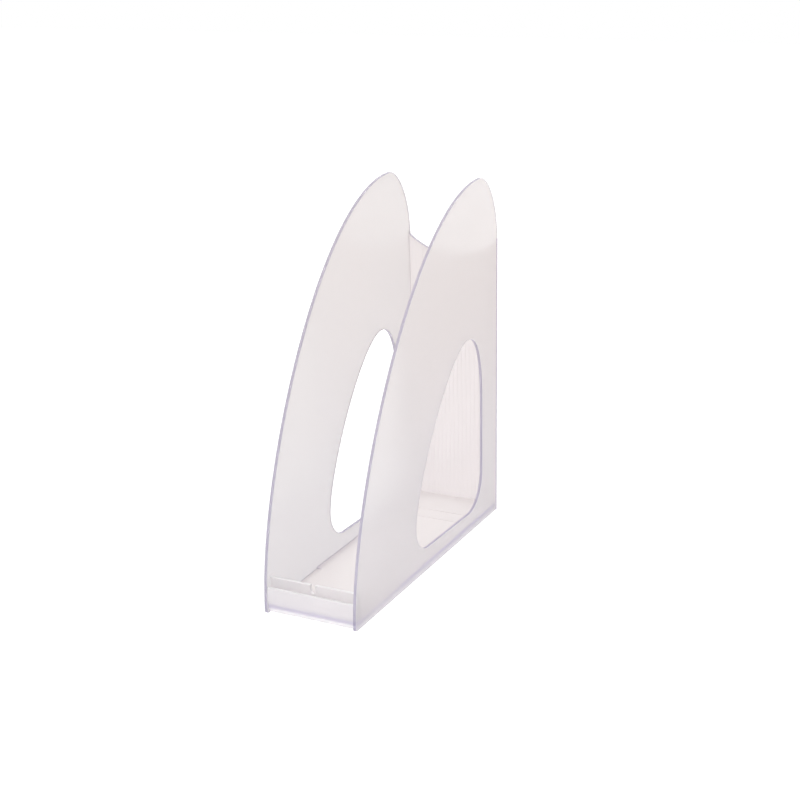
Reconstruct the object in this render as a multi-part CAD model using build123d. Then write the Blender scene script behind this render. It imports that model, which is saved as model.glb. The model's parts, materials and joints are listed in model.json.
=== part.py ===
from build123d import *
import math
import os

# Magazine rack for A4 papers: two tall side panels, a back panel, a base plate,
# a front wall and a label plate, bonded into grooves in each other.
# Sizes are in mm.  X runs across the rack, Y from its open front to its back, Z up.
# The origin is the centre of the footprint, on the surface that the rack stands on.

# Overall sizes
foot_width = 76.0
depth = 250.0
height = 288.0
lean_angle = 0.5
wall = 2.4

# Side panel outline: a quarter-leaf fin with its crown near the back
crown_to_back = 33.5
foot_radius = 2.0
front_pull_low = 104.0
front_pull_high = 110.0
back_pull_high = 14.0
back_pull_low = 36.0
crown_drop = 58.0

# Hand hole in each side panel
hole_to_front = 98.0
hole_to_back = 29.5
hole_to_foot = 16.5
hole_to_crown = 123.7
hole_peak_to_back = 57.0
hole_nose_height = 40.0
hole_nose_length = 21.0
hole_heel_height = 46.0
hole_heel_length = 26.0
hole_shoulder_drop = 59.3
hole_slope = 2.0
hole_front_pull_low = 34.0
hole_front_pull_high = 33.0
hole_back_pull_high = 22.0
hole_back_pull_low = 30.0
corner_pull = 0.55

# Back panel
back_thick = 2.4
back_end_drop = 54.0
back_dip = 16.0
rib_pitch = 3.8
rib_width = 1.2
rib_proud = 0.25
rib_side_margin = 8.0

# Base plate
base_thick = 2.8
floor_height = 6.4
channel_width = 4.6
channel_depth = 1.2
channel_length = 73.0
floor_bar_places = (38.0, 54.0)
floor_bar_width = 1.6
floor_bar_proud = 0.25
lug_length = 5.0
lug_reach = 0.8
lug_to_front = 74.0

# Front: a label plate, the slot behind it and the front wall
plate_setback = 2.0
plate_thick = 2.2
plate_lift = 1.3
plate_top = 20.0
label_slot = 2.0
front_wall_thick = 2.4
front_wall_top = 27.0
notch_width = 4.0
notch_depth = 7.0
lip_radius = 0.6

# Bonded joints: how far each edge is let into the groove of its neighbour
seat = 0.9

back_end_height = height - back_end_drop
front = -depth / 2
back = depth / 2
back_face = back - back_thick
plate_back = front + plate_setback + plate_thick
front_wall_front = plate_back + label_slot
front_wall_back = front_wall_front + front_wall_thick
lean_slope = math.tan(math.radians(lean_angle))


def half_width(z, inset):
    return foot_width / 2 - inset + z * lean_slope


def between_sides(inset):
    # The space between the two leaning sides, set in from their outer faces.
    low = half_width(0, inset)
    high = half_width(height, inset)
    section = Polygon((-low, 0), (low, 0), (high, height), (-high, height), align=None)
    return extrude(Plane.XZ * section, amount=depth, both=True)


def block(x_range, y_range, z_range):
    size = [high - low for low, high in (x_range, y_range, z_range)]
    middle = [(low + high) / 2 for low, high in (x_range, y_range, z_range)]
    return Pos(*middle) * Box(*size)


def cross_plate(y_range, z_range, inset):
    # An upright or flat plate that runs from one side panel to the other.
    wide = (-foot_width, foot_width)
    return block(wide, y_range, z_range) & between_sides(inset)


def fin_face():
    crown = (back - crown_to_back, height)
    front_foot = (front, foot_radius)
    back_foot = (back, foot_radius)
    back_shoulder = (back, height - crown_drop)
    front_edge = Bezier(
        front_foot,
        (front, foot_radius + front_pull_low),
        (crown[0] - front_pull_high, height),
        crown,
    )
    back_edge = Bezier(
        crown,
        (crown[0] + back_pull_high, height),
        (back, back_shoulder[1] + back_pull_low),
        back_shoulder,
    )
    outline = [
        front_edge,
        back_edge,
        Line(back_shoulder, back_foot),
        TangentArc(back_foot, (back - foot_radius, 0), tangent=(0, -1)),
        Line((back - foot_radius, 0), (front + foot_radius, 0)),
        TangentArc((front + foot_radius, 0), front_foot, tangent=(-1, 0)),
    ]
    return make_face(outline)


def hole_face():
    nose = (front + hole_to_front, hole_nose_height)
    peak = (back - hole_peak_to_back, height - hole_to_crown)
    shoulder = (back - hole_to_back, peak[1] - hole_shoulder_drop)
    heel = (back - hole_to_back, hole_heel_height)
    heel_toe = (heel[0] - hole_heel_length, hole_to_foot)
    nose_toe = (nose[0] + hole_nose_length, hole_to_foot + hole_slope)
    heel_drop = hole_heel_height - hole_to_foot
    nose_drop = hole_nose_height - nose_toe[1]
    outline = [
        Bezier(
            nose,
            (nose[0], nose[1] + hole_front_pull_low),
            (peak[0] - hole_front_pull_high, peak[1]),
            peak,
        ),
        Bezier(
            peak,
            (peak[0] + hole_back_pull_high, peak[1]),
            (shoulder[0], shoulder[1] + hole_back_pull_low),
            shoulder,
        ),
        Line(shoulder, heel),
        Bezier(
            heel,
            (heel[0], heel[1] - corner_pull * heel_drop),
            (heel_toe[0] + corner_pull * hole_heel_length, heel_toe[1]),
            heel_toe,
        ),
        Line(heel_toe, nose_toe),
        Bezier(
            nose_toe,
            (nose_toe[0] - corner_pull * hole_nose_length, nose_toe[1]),
            (nose[0], nose[1] - corner_pull * nose_drop),
            nose,
        ),
    ]
    return make_face(outline)


def side_panel(side):
    # The sheet between two leaning planes, trimmed to the fin's outline.
    sheet = extrude(Plane.YZ * (fin_face() - hole_face()), amount=side * foot_width)
    return (sheet & between_sides(0)) - between_sides(wall)


def back_ribs():
    reach = half_width(0, wall) - rib_side_margin
    count = 2 * int(reach / rib_pitch) + 1
    first = -(count - 1) / 2 * rib_pitch
    ribs = []
    for index in range(count):
        middle = first + index * rib_pitch
        x_range = (middle - rib_width / 2, middle + rib_width / 2)
        y_range = (back_face - rib_proud, back_face)
        ribs.append(block(x_range, y_range, (floor_height, back_end_height)))
    return ribs


def back_outline():
    # The back panel's upright outline: leaning ends and a top edge that dips in the middle.
    low = half_width(0, 0)
    high = half_width(back_end_height, 0)
    outline = [
        Line((-low, 0), (low, 0)),
        Line((low, 0), (high, back_end_height)),
        ThreePointArc((high, back_end_height), (0, back_end_height - back_dip), (-high, back_end_height)),
        Line((-high, back_end_height), (-low, 0)),
    ]
    return extrude(Plane.XZ * make_face(outline), amount=depth, both=True)


def back_panel():
    slab = block((-foot_width, foot_width), (back_face, back), (0, back_end_height))
    return (slab + back_ribs()) & back_outline()


def base_plate():
    floor_low = floor_height - base_thick
    y_range = (plate_back - seat, back_face + seat)
    plate = cross_plate(y_range, (floor_low, floor_height), wall - seat)
    lug_range = (front + lug_to_front, front + lug_to_front + lug_length)
    plate += cross_plate(lug_range, (floor_low, floor_height), wall - seat - lug_reach)
    for place in floor_bar_places:
        bar_range = (back - place, back - place + floor_bar_width)
        plate += cross_plate(bar_range, (floor_height, floor_height + floor_bar_proud), wall)
    for side in (-1, 1):
        inner = side * (half_width(floor_height, wall) - channel_width)
        outer = side * foot_width
        x_range = (min(inner, outer), max(inner, outer))
        y_range = (front_wall_back, front + channel_length)
        plate -= block(x_range, y_range, (floor_height - channel_depth, height))
    return plate


def front_wall():
    wall_range = (front_wall_front, front_wall_back)
    plate = cross_plate(wall_range, (floor_height - seat, front_wall_top), wall - seat)
    notch_bottom = front_wall_top - notch_depth
    notch_round = Pos(0, 0, notch_bottom + notch_width / 2) * Rot(90, 0, 0) * Cylinder(notch_width / 2, depth)
    notch_slot = block(
        (-notch_width / 2, notch_width / 2),
        (front, back),
        (notch_bottom + notch_width / 2, front_wall_top + notch_width),
    )
    top_edges = plate.edges().filter_by(Axis.X).group_by(Axis.Z)[-1]
    return fillet(top_edges, lip_radius) - notch_round - notch_slot


def label_plate():
    plate_range = (front + plate_setback, plate_back)
    plate = cross_plate(plate_range, (plate_lift, plate_top), wall - seat)
    top_edges = plate.edges().filter_by(Axis.X).group_by(Axis.Z)[-1]
    return fillet(top_edges, lip_radius)


def build():
    base = base_plate()
    wall_piece = front_wall()
    plate = label_plate()
    back_piece = back_panel()
    cross_pieces = [base, wall_piece, plate, back_piece]
    return {
        "side_panel_left": side_panel(-1) - cross_pieces,
        "side_panel_right": side_panel(1) - cross_pieces,
        "back_panel": back_piece - base,
        "base_plate": base - wall_piece,
        "front_wall": wall_piece,
        "label_plate": plate - base,
    }


os.makedirs("parts", exist_ok=True)
for node, piece in build().items():
    export_step(piece, "parts/" + node + ".step")
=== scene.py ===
import bpy
import json
import math
from mathutils import Matrix, Vector
from mathutils.bvhtree import BVHTree

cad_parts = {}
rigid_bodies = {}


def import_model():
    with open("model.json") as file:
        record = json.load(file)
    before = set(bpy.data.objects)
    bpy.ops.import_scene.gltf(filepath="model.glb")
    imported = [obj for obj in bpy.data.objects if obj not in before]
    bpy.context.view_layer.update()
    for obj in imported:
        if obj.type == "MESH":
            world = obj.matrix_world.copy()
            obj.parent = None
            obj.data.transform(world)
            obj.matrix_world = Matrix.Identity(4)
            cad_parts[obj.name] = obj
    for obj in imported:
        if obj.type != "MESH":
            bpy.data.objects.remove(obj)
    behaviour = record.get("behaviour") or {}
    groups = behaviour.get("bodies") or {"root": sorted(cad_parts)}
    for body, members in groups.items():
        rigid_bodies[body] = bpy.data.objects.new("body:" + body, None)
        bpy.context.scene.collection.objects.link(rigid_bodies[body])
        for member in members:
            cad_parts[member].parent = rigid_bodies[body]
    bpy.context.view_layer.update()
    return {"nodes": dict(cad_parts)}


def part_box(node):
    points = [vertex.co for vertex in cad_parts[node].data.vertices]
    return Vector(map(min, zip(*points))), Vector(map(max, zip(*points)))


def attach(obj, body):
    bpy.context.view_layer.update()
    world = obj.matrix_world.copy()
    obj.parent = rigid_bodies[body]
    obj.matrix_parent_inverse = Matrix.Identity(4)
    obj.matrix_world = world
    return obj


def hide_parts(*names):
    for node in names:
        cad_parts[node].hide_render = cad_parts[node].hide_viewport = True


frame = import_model()
print("frame loaded:", len(frame["nodes"]), "nodes")


class Socket:
    # A node output that can be used in plain expressions.
    def __init__(self, maker, out):
        self.maker = maker
        self.out = out

    def maths(self, operation, other, flipped=False):
        pair = (other, self) if flipped else (self, other)
        return self.maker.node("ShaderNodeMath", {"operation": operation}, {0: pair[0], 1: pair[1]})

    def __add__(self, other):
        return self.maths("ADD", other)

    def __radd__(self, other):
        return self.maths("ADD", other, True)

    def __sub__(self, other):
        return self.maths("SUBTRACT", other)

    def __rsub__(self, other):
        return self.maths("SUBTRACT", other, True)

    def __mul__(self, other):
        return self.maths("MULTIPLY", other)

    def __rmul__(self, other):
        return self.maths("MULTIPLY", other, True)


class Maker:
    # Builds the node tree of a material or a world.
    def __init__(self, owner):
        self.owner = owner
        self.owner.use_nodes = True
        self.tree = owner.node_tree
        self.tree.nodes.clear()

    def node(self, kind, settings=None, inputs=None, output=0):
        made = self.tree.nodes.new(kind)
        for key, value in (settings or {}).items():
            if key == "stops":
                ramp = made.color_ramp
                for index, (place, colour) in enumerate(value):
                    stop = ramp.elements[index] if index < len(ramp.elements) else ramp.elements.new(place)
                    stop.position = place
                    stop.color = colour
            else:
                setattr(made, key, value)
        for key, value in (inputs or {}).items():
            if isinstance(value, Socket):
                self.tree.links.new(value.out, made.inputs[key])
            else:
                made.inputs[key].default_value = value
        return Socket(self, made.outputs[output])

    def finish(self, shader, outputKind="ShaderNodeOutputMaterial"):
        output = self.tree.nodes.new(outputKind)
        self.tree.links.new(shader.out, output.inputs["Surface"])
        return self.owner


sheetLook = {
    "tint": (0.962, 0.920, 0.910, 1.0),
    # Painted shade: the low colours below take over towards the bottom, between the two heights that follow,
    # so the lower part of each sheet is darker and cooler.
    "lowShadeTint": (0.932, 0.908, 0.934, 1.0),
    "milk": (0.885, 0.848, 0.838, 1.0),
    "lowShadeMilk": (0.855, 0.838, 0.855, 1.0),
    "lowShadeFrom": 0.24,
    "lowShadeTo": 0.02,
    "cloudShare": 0.35,
    "milkShare": 0.38,
    "body": (0.790, 0.740, 0.730, 1.0),
    "lowShadeBody": (0.750, 0.725, 0.745, 1.0),
    "bodyShare": 0.24,
    "clearInside": 1.0,
    "roughness": 0.17,
    "roughnessSpread": 0.05,
    "ior": 1.45,
    "cloudScale": 11.0,
    "cloudDetail": 3.0,
    "streaks": (300.0, 300.0, 5.0),
    "streakSpread": 0.02,
    "waveScale": 55.0,
    "waveDepth": 0.00002,
}
# Variants of that plastic for the other sheets, the rims and the open edges. The floor, back and left sheets
# are lighter and darker copies of the same plastic, painted light and shade, and the rims carry a painted
# highlight.
# Painted light: a lighter copy for the base plate, which also undoes the painted shade low down.
litFloorLook = dict(sheetLook, lowShadeTint=(0.962, 0.925, 0.925, 1.0), lowShadeMilk=(0.925, 0.885, 0.885, 1.0),
                 lowShadeBody=(0.84, 0.79, 0.79, 1.0), bodyShare=0.16)
# Painted shade: the back panel's copy, with darker milk and body than the floor copy.
shadedBackLook = dict(litFloorLook, milk=(0.86, 0.81, 0.81, 1.0), lowShadeMilk=(0.865, 0.81, 0.82, 1.0),
                body=(0.79, 0.73, 0.74, 1.0), lowShadeBody=(0.78, 0.72, 0.73, 1.0), bodyShare=0.19)
# Painted shade: a darker copy of the sheet plastic for the left side panel.
shadedLeftLook = dict(sheetLook, milk=(0.825, 0.788, 0.780, 1.0), lowShadeMilk=(0.785, 0.770, 0.782, 1.0),
                body=(0.730, 0.680, 0.670, 1.0), lowShadeBody=(0.685, 0.665, 0.680, 1.0))
wallLook = dict(sheetLook, tint=(0.997, 0.985, 0.990, 1.0), lowShadeTint=(0.993, 0.983, 0.992, 1.0),
                milk=(0.995, 0.980, 0.985, 1.0), lowShadeMilk=(0.990, 0.978, 0.988, 1.0), milkShare=0.35,
                body=(0.90, 0.87, 0.89, 1.0), lowShadeBody=(0.88, 0.85, 0.88, 1.0), bodyShare=0.15,
                roughness=0.08)
plateLook = dict(wallLook, body=(0.97, 0.93, 0.96, 1.0), lowShadeBody=(0.96, 0.93, 0.96, 1.0), bodyShare=0.45,
                 roughness=0.10)
# Painted highlight: a polished clear rim with half of its surface a near-white plain share, standing in for
# light caught on the rounded rims.
highlightRimLook = dict(wallLook, body=(0.99, 0.98, 0.99, 1.0), lowShadeBody=(0.99, 0.98, 0.99, 1.0), milkShare=0.12,
               bodyShare=0.5, roughness=0.07)
edgeLook = dict(sheetLook, tint=(0.93, 0.91, 0.96, 1.0), lowShadeTint=(0.92, 0.90, 0.955, 1.0),
                milk=(0.92, 0.90, 0.95, 1.0), lowShadeMilk=(0.91, 0.89, 0.945, 1.0), milkShare=0.35,
                body=(0.34, 0.30, 0.40, 1.0), lowShadeBody=(0.38, 0.35, 0.48, 1.0), bodyShare=0.60,
                clearInside=0.0, roughness=0.16)


def plastic(name, look):
    # Frosted see-through plastic: a clear rough skin, a milky share that scatters light, and a share of
    # plain surface. clearInside 1 hides that last share from rays inside the plastic.
    make = Maker(bpy.data.materials.new(name))
    place = make.node("ShaderNodeTexCoord", output=3)
    height = make.node("ShaderNodeSeparateXYZ", {}, {0: place}, output=2)
    # Painted shade: 0 high up and 1 low down; it blends every colour towards its low variant, darkening the
    # lower part of the sheets.
    lowShade = make.node("ShaderNodeMapRange", {"interpolation_type": "SMOOTHSTEP"}, {
        "Value": height, "From Min": look["lowShadeFrom"], "From Max": look["lowShadeTo"]})
    clouds = make.node("ShaderNodeTexNoise", {}, {
        "Vector": place, "Scale": look["cloudScale"], "Detail": look["cloudDetail"]})
    stretched = make.node("ShaderNodeMapping", {}, {"Vector": place, "Scale": look["streaks"]})
    streaks = make.node("ShaderNodeTexNoise", {}, {"Vector": stretched, "Scale": 1.0, "Detail": 1.0})
    waves = make.node("ShaderNodeTexNoise", {}, {"Vector": place, "Scale": look["waveScale"], "Detail": 1.0})
    # That painted shade mixed with random noise clouds of tone.
    shadeAndClouds = lowShade * (1 - look["cloudShare"]) + clouds * look["cloudShare"]
    colour = make.node("ShaderNodeMix", {"data_type": "RGBA"},
                       {0: shadeAndClouds, 6: look["tint"], 7: look["lowShadeTint"]}, output=2)
    cloudy = (clouds - 0.5) * look["roughnessSpread"]
    roughness = look["roughness"] + cloudy + (streaks - 0.5) * look["streakSpread"]
    bump = make.node("ShaderNodeBump", {}, {"Height": waves, "Distance": look["waveDepth"], "Strength": 1.0})
    skin = make.node("ShaderNodeBsdfPrincipled", {}, {
        "Base Color": colour,
        "Roughness": roughness,
        "Transmission Weight": 1.0,
        "IOR": look["ior"],
        "Normal": bump,
    })
    warmMilk = make.node("ShaderNodeBsdfTranslucent", {}, {"Color": look["milk"]})
    lowShadeMilk = make.node("ShaderNodeBsdfTranslucent", {}, {"Color": look["lowShadeMilk"]})
    milk = make.node("ShaderNodeMixShader", {}, {0: shadeAndClouds, 1: warmMilk, 2: lowShadeMilk})
    seeThrough = make.node("ShaderNodeMixShader", {}, {0: look["milkShare"], 1: skin, 2: milk})
    bodyColour = make.node("ShaderNodeMix", {"data_type": "RGBA"},
                           {0: shadeAndClouds, 6: look["body"], 7: look["lowShadeBody"]}, output=2)
    body = make.node("ShaderNodeBsdfPrincipled", {}, {
        "Base Color": bodyColour,
        "Roughness": roughness,
        "IOR": look["ior"],
        "Normal": bump,
    })
    inside = make.node("ShaderNodeNewGeometry", output=6)
    share = (1 - inside * look["clearInside"]) * look["bodyShare"]
    return make.finish(make.node("ShaderNodeMixShader", {}, {0: share, 1: seeThrough, 2: body}))


endLook = {
    "colour": (0.68, 0.62, 0.86, 1.0),
    "through": (0.86, 0.82, 0.96, 1.0),
    "throughShare": 0.2,
    "roughness": 0.5,
}


def cutFace(name, look):
    # Where one sheet's cut end meets another sheet: a thin mauve film that lets some light pass.
    make = Maker(bpy.data.materials.new(name))
    film = make.node("ShaderNodeBsdfPrincipled", {}, {
        "Base Color": look["colour"], "Roughness": look["roughness"]})
    clear = make.node("ShaderNodeBsdfTransparent", {}, {"Color": look["through"]})
    return make.finish(make.node("ShaderNodeMixShader", {}, {0: look["throughShare"], 1: film, 2: clear}))


print("materials")
frostedSheet = plastic("frostedSheet", sheetLook)
shadedLeftSheet = plastic("shadedLeftSheet", shadedLeftLook)
litFloorSheet = plastic("litFloorSheet", litFloorLook)
shadedBackSheet = plastic("shadedBackSheet", shadedBackLook)
highlightRim = plastic("highlightRim", highlightRimLook)
clearWall = plastic("clearWall", wallLook)
clearPlate = plastic("clearPlate", plateLook)
clearEdge = plastic("clearEdge", edgeLook)
cutEnd = cutFace("cutEnd", endLook)


def bondedJoint():
    # Welded faces that touch have no boundary that light could notice.
    make = Maker(bpy.data.materials.new("bondedJoint"))
    return make.finish(make.node("ShaderNodeBsdfTransparent", {}, {"Color": (1.0, 1.0, 1.0, 1.0)}))


joint = bondedJoint()

sheetSlot, edgeSlot, highlightSlot, joinedSlot, cutSlot = range(5)
zoneLimits = {
    "broad": 0.99,
    "rim": 0.8,
    "end": 0.97,
    "endReach": 0.003,
    "topRim": 0.2,
    "topFlat": 0.3,
    "lip": 0.3,
    "level": 0.5,
}
roundLook = {
    "mergeAt": 0.000004,
    "flatAngle": 0.4,
    "cutAt": 0.000004,
    "sharpAngle": 40.0,
    "width": 0.0004,
    "segments": 3,
    "smoothAngle": 35.0,
    "touching": 0.0001,
    "facing": 0.9,
    "alike": 0.99,
    "planeDigits": 4,
    "normalWeight": 100,
}
surfaces = {}
for node, body in frame["nodes"].items():
    corners = [corner.co.copy() for corner in body.data.vertices]
    surfaces[node] = BVHTree.FromPolygons(corners, [list(face.vertices) for face in body.data.polygons])


def neighbour(point, normal, node):
    # The other piece whose surface lies against this point, if there is one.
    for other, surface in surfaces.items():
        if other == node:
            continue
        place, otherNormal = surface.find_nearest(point, roundLook["touching"])[:2]
        if place is not None and normal.dot(otherNormal) < -roundLook["facing"]:
            return other
    return None


def bondedFaces(mesh, node):
    # The faces that lie against other pieces with every triangle, and those pieces.
    mesh.calc_loop_triangles()
    met = {}
    for triangle in mesh.loop_triangles:
        other = neighbour(triangle.center, triangle.normal, node)
        met.setdefault(triangle.polygon_index, set()).add(other)
    return {index: others for index, others in met.items() if None not in others}


def jointSlot(face, pieces):
    # The base plate's cut ends show through the sides and the label plate; other joints don't show.
    shown = "base_plate" in pieces and "back_panel" not in pieces
    if shown and abs(face.normal.z) < zoneLimits["level"]:
        return cutSlot
    return joinedSlot


def sharpEdges(mesh, bonded):
    # Edges where two faces meet sharply and neither is bonded.
    sides = {}
    for face in mesh.polygons:
        for key in face.edge_keys:
            sides.setdefault(key, []).append(face)
    limit = math.cos(math.radians(roundLook["sharpAngle"]))
    chosen = []
    for edge in mesh.edges:
        pair = sides.get(tuple(sorted(edge.vertices)), [])
        if len(pair) != 2 or any(face.index in bonded for face in pair):
            continue
        if pair[0].normal.dot(pair[1].normal) < limit:
            chosen.append(edge.index)
    return chosen


def mainPlane(node, facing):
    # A point on, and the normal of, the plane that holds most of a node's surface facing one way.
    areas = {}
    for face in frame["nodes"][node].data.polygons:
        if face.normal.dot(facing) > roundLook["alike"]:
            offset = round(face.center.dot(face.normal), roundLook["planeDigits"])
            total, largest = areas.get(offset, (0.0, face))
            largest = max(largest, face, key=lambda one: one.area)
            areas[offset] = (total + face.area, largest)
    total, largest = max(areas.values(), key=lambda one: one[0])
    return largest.center.copy(), largest.normal.copy()


def roundedPiece(node, name, sheet, zone, jointPlanes=()):
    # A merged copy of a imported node, with its open edges rounded over.
    bpy.ops.object.select_all(action="DESELECT")
    source = frame["nodes"][node]
    source.select_set(True)
    bpy.context.view_layer.objects.active = source
    bpy.ops.object.duplicate()
    piece = bpy.context.object
    bpy.ops.object.parent_clear(type="CLEAR_KEEP_TRANSFORM")
    for key in list(piece.keys()):
        del piece[key]
    piece.name = name
    piece.data.name = name
    bpy.ops.object.mode_set(mode="EDIT")
    bpy.ops.mesh.select_mode(type="EDGE")
    bpy.ops.mesh.select_all(action="SELECT")
    bpy.ops.mesh.remove_doubles(threshold=roundLook["mergeAt"])
    bpy.ops.mesh.dissolve_limited(angle_limit=math.radians(roundLook["flatAngle"]))
    for place, normal in jointPlanes:
        bpy.ops.mesh.select_all(action="SELECT")
        bpy.ops.mesh.bisect(plane_co=place, plane_no=normal, threshold=roundLook["cutAt"])
    bpy.ops.mesh.select_all(action="DESELECT")
    bpy.ops.object.mode_set(mode="OBJECT")
    mesh = piece.data
    for index in sharpEdges(mesh, bondedFaces(mesh, node)):
        mesh.edges[index].select = True
    bpy.ops.object.mode_set(mode="EDIT")
    bpy.ops.mesh.bevel(offset=roundLook["width"], segments=roundLook["segments"], affect="EDGES",
                       clamp_overlap=True, loop_slide=False)
    bpy.ops.object.mode_set(mode="OBJECT")
    bpy.ops.object.shade_smooth_by_angle(angle=math.radians(roundLook["smoothAngle"]))
    even = piece.modifiers.new("evenShading", "WEIGHTED_NORMAL")
    even.mode = "FACE_AREA"
    even.weight = roundLook["normalWeight"]
    even.keep_sharp = True
    bpy.ops.object.modifier_apply(modifier=even.name)
    mesh = piece.data
    mesh.materials.clear()
    for material in (sheet, clearEdge, highlightRim, joint, cutEnd):
        mesh.materials.append(material)
    bonded = bondedFaces(mesh, node)
    for face in mesh.polygons:
        if face.index in bonded:
            face.material_index = jointSlot(face, bonded[face.index] | {node})
        else:
            face.material_index = zone(face)
    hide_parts(node)
    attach(piece, "root")
    print(name, len(mesh.polygons), "faces,", len(bonded), "bonded")


def leftZone(face):
    # The broad faces, and the edges with their rounded rims.
    return sheetSlot if abs(face.normal.x) > zoneLimits["broad"] else edgeSlot


def rightZone(face):
    # The broad faces, the flat edges and the rounded rims between them, which carry a painted highlight.
    if abs(face.normal.x) > zoneLimits["broad"]:
        return sheetSlot
    return edgeSlot if abs(face.normal.x) < zoneLimits["rim"] else highlightSlot


def backZone(face):
    # The broad faces, the flat top edge and ends, and the rounded rims between them, which carry a painted
    # highlight.
    if abs(face.center.x) > backEnd and abs(face.normal.x) > zoneLimits["end"]:
        return edgeSlot
    if face.normal.z <= zoneLimits["topRim"]:
        return sheetSlot
    return edgeSlot if abs(face.normal.y) < zoneLimits["topFlat"] else highlightSlot


def plainZone(face):
    return sheetSlot


def plateZone(face):
    # The polished lip along the top of a front plate gets a painted highlight, a near-white share of its
    # surface.
    return highlightSlot if face.normal.z > zoneLimits["lip"] else sheetSlot


print("pieces")
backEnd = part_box("back_panel")[1][0] - zoneLimits["endReach"]
insideLeft = mainPlane("side_panel_left", Vector((1, 0, 0)))
insideRight = mainPlane("side_panel_right", Vector((-1, 0, 0)))
insideBack = mainPlane("back_panel", Vector((0, -1, 0)))
behindPlate = mainPlane("label_plate", Vector((0, 1, 0)))
floorTop = mainPlane("base_plate", Vector((0, 0, 1)))
between = [insideLeft, insideRight]
footPlanes = [floorTop, behindPlate]
roundedPiece("side_panel_left", "leftSidePanel", shadedLeftSheet, leftZone, footPlanes)
roundedPiece("side_panel_right", "rightSidePanel", frostedSheet, rightZone, footPlanes)
roundedPiece("back_panel", "backPanel", shadedBackSheet, backZone, between)
roundedPiece("base_plate", "basePlate", litFloorSheet, plainZone,
             between + [insideBack, behindPlate])
roundedPiece("front_wall", "frontWall", clearWall, plateZone, between + [floorTop])
roundedPiece("label_plate", "labelPlate", clearPlate, plateZone, between)

print("floor and light")
floorLook = {
    "size": 8.0,
    "drop": 0.0002,
    "colour": (0.10, 0.10, 0.10, 1.0),
    "roughness": 0.8,
    "glowColour": (1.0, 1.0, 1.0, 1.0),
    "glow": 1.0,
}
bpy.ops.object.select_all(action="DESELECT")
bpy.ops.mesh.primitive_plane_add(size=floorLook["size"], location=(0, 0, -floorLook["drop"]))
floor = bpy.context.object
floor.name = "studioFloor"
floorMaker = Maker(bpy.data.materials.new("paleFloor"))
floor.data.materials.append(floorMaker.finish(floorMaker.node("ShaderNodeBsdfPrincipled", {}, {
    "Base Color": floorLook["colour"],
    "Roughness": floorLook["roughness"],
    "Emission Color": floorLook["glowColour"],
    "Emission Strength": floorLook["glow"],
})))

scene = bpy.context.scene
scene.view_settings.view_transform = "Standard"
skyLook = {"colour": (1.0, 1.0, 1.0, 1.0), "horizon": 1.0, "zenith": 1.35}
sky = Maker(bpy.data.worlds.new("studioSky"))
way = sky.node("ShaderNodeTexCoord", output=3)
lift = sky.node("ShaderNodeSeparateXYZ", {}, {"Vector": way}, output=2)
glow = sky.node("ShaderNodeMapRange", {"interpolation_type": "SMOOTHSTEP"}, {
    "Value": lift, "To Min": skyLook["horizon"], "To Max": skyLook["zenith"]})
light = sky.node("ShaderNodeBackground", {}, {"Color": skyLook["colour"], "Strength": glow})
scene.world = sky.finish(light, "ShaderNodeOutputWorld")
bounces = {"most": 32, "glossy": 12, "diffuse": 16}
scene.cycles.max_bounces = bounces["most"]
scene.cycles.transmission_bounces = bounces["most"]
scene.cycles.glossy_bounces = bounces["glossy"]
scene.cycles.diffuse_bounces = bounces["diffuse"]

print("camera")
cameraPlace = {
    "azimuth": 27.41,
    "elevation": 18.42,
    "roll": -1.5,
    "distance": 1.1632,
    "aim": (0.0150, -0.0033, 0.1339),
    "lens": 69.14,
    "sensor": 36.0,
    "farClip": 20.0,
}
azimuth = math.radians(cameraPlace["azimuth"])
elevation = math.radians(cameraPlace["elevation"])
roll = math.radians(cameraPlace["roll"])
level = math.cos(elevation)
ahead = Vector((-math.sin(azimuth) * level, math.cos(azimuth) * level, -math.sin(elevation)))
across = Vector((math.cos(azimuth), math.sin(azimuth), 0))
upward = across.cross(ahead)
rightAxis = math.cos(roll) * across + math.sin(roll) * upward
upAxis = math.cos(roll) * upward - math.sin(roll) * across
bpy.ops.object.camera_add()
camera = bpy.context.object
camera.data.lens = cameraPlace["lens"]
camera.data.sensor_width = cameraPlace["sensor"]
turn = Matrix((rightAxis, upAxis, -ahead)).transposed()
camera.rotation_euler = turn.to_euler()
camera.location = Vector(cameraPlace["aim"]) - cameraPlace["distance"] * ahead
camera.data.clip_end = cameraPlace["farClip"]
scene.camera = camera
